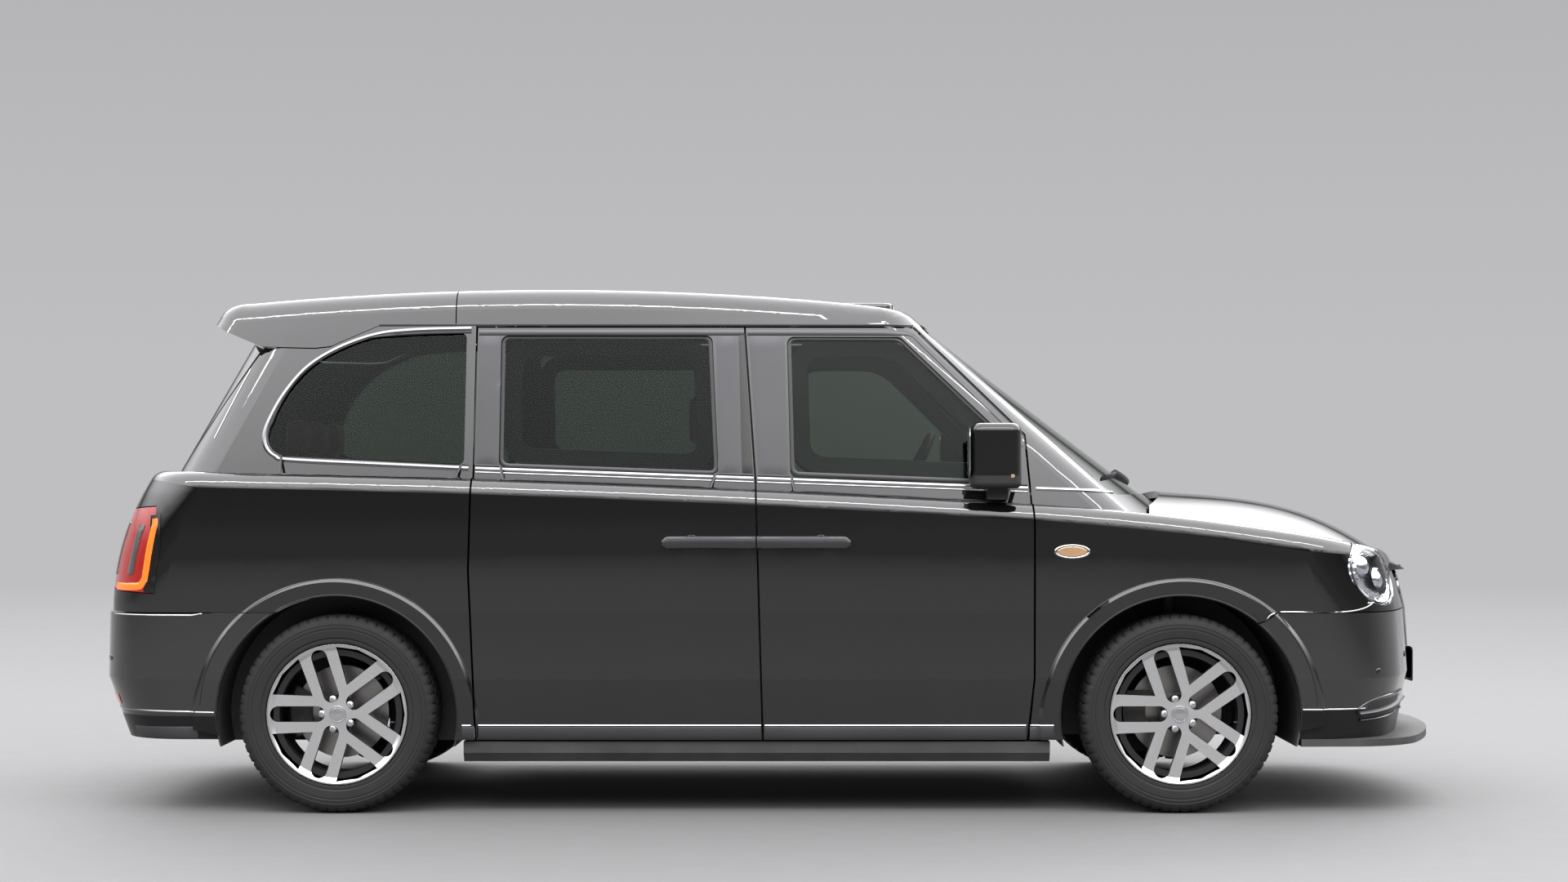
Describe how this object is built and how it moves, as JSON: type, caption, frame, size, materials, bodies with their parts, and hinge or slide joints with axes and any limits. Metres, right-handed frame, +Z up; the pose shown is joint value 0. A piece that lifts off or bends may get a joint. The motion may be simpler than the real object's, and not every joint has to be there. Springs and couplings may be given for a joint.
{
  "type": "taxi cab",
  "caption": "Gloss black taxi cab with a roof sign pod, rear-hinged passenger doors, opening bonnet and tailgate, steered front wheels and a partitioned cabin.",
  "frame": {"origin": "on the ground below the middle of the length and width", "axes": "+X forward, +Y to the cab's left, +Z up"},
  "size_m": [4.9298, 2.036, 1.8707],
  "materials": {
    "paint": "gloss black clear coat",
    "black_plastic": "fine grained dark grey plastic",
    "gloss_black": "gloss black moulding",
    "sign_white": "translucent white moulding",
    "chrome": "bright chrome",
    "steel": "painted and machined steel",
    "alloy": "diamond turned face over dark pockets",
    "rubber": "black tyre rubber",
    "glass": "green tinted safety glass",
    "lamp_glass": "clear lamp cover",
    "lamp_red": "red lamp cover",
    "leather": "tan upholstery",
    "carpet": "dark floor covering",
    "iron": "cast housings"
  },
  "bodies": {
    "root": {"b_pillars": "black_plastic", "battery_pack": "steel", "bulkhead": "steel", "dashboard": "black_plastic", "driver_seat": "leather", "floor_pan": "steel", "front_bumper": "paint", "front_splitter": "black_plastic", "front_suspension": "steel", "front_wings": "paint", "grille": "gloss_black", "headlamps": "lamp_glass", "jump_seats": "leather", "partition": "black_plastic", "power_unit": "iron", "quarter_glass": "glass", "rear_bench": "leather", "rear_bumper": "paint", "rear_quarters": "paint", "rear_spoiler": "paint", "rear_suspension": "steel", "roof_panel": "paint", "roof_sign": "gloss_black", "side_skirts": "black_plastic", "tail_lamps": "lamp_red", "wheel_housings": "black_plastic", "windscreen": "glass", "windscreen_frame": "paint"},
    "front_left_door": {"front_left_door": "paint", "front_left_glass": "glass", "front_left_mirror": "gloss_black"},
    "rear_left_door": {"rear_left_door": "paint", "rear_left_glass": "glass"},
    "front_left_knuckle": {"front_left_knuckle": "iron"},
    "front_left_wheel": {"front_left_wheel": "alloy", "front_left_tyre": "rubber"},
    "rear_left_wheel": {"rear_left_wheel": "alloy", "rear_left_tyre": "rubber"},
    "front_right_door": {"front_right_door": "paint", "front_right_glass": "glass", "front_right_mirror": "gloss_black"},
    "rear_right_door": {"rear_right_door": "paint", "rear_right_glass": "glass"},
    "front_right_knuckle": {"front_right_knuckle": "iron"},
    "front_right_wheel": {"front_right_wheel": "alloy", "front_right_tyre": "rubber"},
    "rear_right_wheel": {"rear_right_wheel": "alloy", "rear_right_tyre": "rubber"},
    "bonnet": {"bonnet": "paint"},
    "tailgate": {"tailgate": "paint", "tailgate_glass": "glass"},
    "steering_wheel": {"steering_wheel": "gloss_black"}
  },
  "joints": [
    {"name": "front_left_door_hinge", "type": "hinge", "parent": "root", "child": "front_left_door", "pos_m": [0.869, 0.918, 1], "axis": [0, 0, -1], "range_deg": [0, 68]},
    {"name": "rear_left_door_hinge", "type": "hinge", "parent": "root", "child": "rear_left_door", "pos_m": [-1.035, 0.918, 1], "axis": [0, 0, 1], "range_deg": [0, 88]},
    {"name": "front_left_steer", "type": "hinge", "parent": "root", "child": "front_left_knuckle", "pos_m": [1.435, 0.715, 0.352], "axis": [0, 0, 1], "range_deg": [-45, 45]},
    {"name": "front_left_wheel_spin", "type": "hinge", "parent": "front_left_knuckle", "child": "front_left_wheel", "pos_m": [1.435, 0.795, 0.352], "axis": [0, 1, 0], "continuous": true},
    {"name": "rear_left_wheel_spin", "type": "hinge", "parent": "root", "child": "rear_left_wheel", "pos_m": [-1.55, 0.795, 0.352], "axis": [0, 1, 0], "continuous": true},
    {"name": "front_right_door_hinge", "type": "hinge", "parent": "root", "child": "front_right_door", "pos_m": [0.869, -0.918, 1], "axis": [0, 0, 1], "range_deg": [0, 68]},
    {"name": "rear_right_door_hinge", "type": "hinge", "parent": "root", "child": "rear_right_door", "pos_m": [-1.035, -0.918, 1], "axis": [0, 0, -1], "range_deg": [0, 88]},
    {"name": "front_right_steer", "type": "hinge", "parent": "root", "child": "front_right_knuckle", "pos_m": [1.435, -0.715, 0.352], "axis": [0, 0, 1], "range_deg": [-45, 45]},
    {"name": "front_right_wheel_spin", "type": "hinge", "parent": "front_right_knuckle", "child": "front_right_wheel", "pos_m": [1.435, -0.795, 0.352], "axis": [0, 1, 0], "continuous": true},
    {"name": "rear_right_wheel_spin", "type": "hinge", "parent": "root", "child": "rear_right_wheel", "pos_m": [-1.55, -0.795, 0.352], "axis": [0, 1, 0], "continuous": true},
    {"name": "bonnet_hinge", "type": "hinge", "parent": "root", "child": "bonnet", "pos_m": [1.25, 0, 1.06], "axis": [0, -1, 0], "range_deg": [0, 50]},
    {"name": "tailgate_hinge", "type": "hinge", "parent": "root", "child": "tailgate", "pos_m": [-1.932, 0, 1.689], "axis": [0, 1, 0], "range_deg": [0, 70]},
    {"name": "steering_wheel_turn", "type": "hinge", "parent": "root", "child": "steering_wheel", "pos_m": [0.5, -0.38, 1.175], "axis": [-0.9063, 0, 0.4226], "range_deg": [-540, 540]}
  ],
  "couplings": [
    {"joint": "front_right_steer", "follows": "front_left_steer", "ratio": 1},
    {"joint": "steering_wheel_turn", "follows": "front_left_steer", "ratio": 12}
  ]
}
